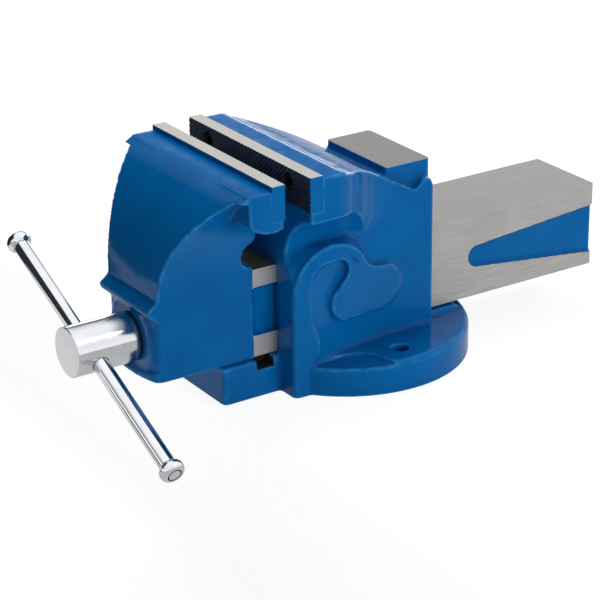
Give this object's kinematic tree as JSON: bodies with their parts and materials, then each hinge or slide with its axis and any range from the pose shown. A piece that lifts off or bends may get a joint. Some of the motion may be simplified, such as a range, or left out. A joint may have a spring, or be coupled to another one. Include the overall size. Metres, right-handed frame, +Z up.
{
  "type": "bench vise",
  "caption": "Engineer's bench vise with a fixed round base: sliding jaw on a channel slide, screw and nut, tommy-bar handle, bolted jaw plates and an anvil.",
  "frame": {"origin": "centre of the round flange on its underside, midway between the two fixing holes", "axes": "+Z up from the bench, +Y from the jaws towards the slide's tail, +X across the jaws so that X, Y and Z are right-handed"},
  "size_m": [0.2804, 0.5486, 0.2227],
  "materials": {
    "blue_enamel": "gloss enamel over cast iron, machined faces left bare",
    "jaw_steel": "ground top, blackened serrated face",
    "black_screw": "black oxide",
    "bright_steel": "turned and bright plated",
    "plain_steel": "plain steel, lightly oiled",
    "nut_iron": "machined cast iron, greased"
  },
  "bodies": {
    "base": {"body": "blue_enamel", "fixed_jaw_plate": "jaw_steel", "fixed_plate_screw_left": "black_screw", "fixed_plate_screw_right": "black_screw", "spindle_nut": "nut_iron", "nut_bolt_front": "plain_steel", "nut_bolt_rear": "plain_steel", "nut_washer_front": "plain_steel", "nut_washer_rear": "plain_steel"},
    "jaw_carriage": {"moving_jaw": "blue_enamel", "moving_jaw_plate": "jaw_steel", "moving_plate_screw_left": "black_screw", "moving_plate_screw_right": "black_screw", "head_washer": "plain_steel", "spring_washer": "plain_steel"},
    "screw": {"spindle": "bright_steel", "thrust_spring": "plain_steel", "retaining_collar": "plain_steel", "collar_pin": "bright_steel"},
    "handle": {"handle_bar": "bright_steel", "handle_knob_upper": "bright_steel", "handle_knob_lower": "bright_steel"}
  },
  "joints": [
    {"name": "jaw_slide", "type": "slide", "parent": "base", "child": "jaw_carriage", "axis": [0, -1, 0], "range_m": [-0.0237, 0.176]},
    {"name": "spindle_spin", "type": "hinge", "parent": "jaw_carriage", "child": "screw", "pos_m": [0, -0.2, 0.066], "axis": [0, -1, 0], "range_deg": [-1420, 10558]},
    {"name": "handle_slide", "type": "slide", "parent": "screw", "child": "handle", "axis": [0.9135, 0, -0.4067], "range_m": [-0.118, 0.106]}
  ],
  "couplings": [
    {"joint": "jaw_slide", "follows": "spindle_spin", "m_per_rad": 0.00095493}
  ]
}
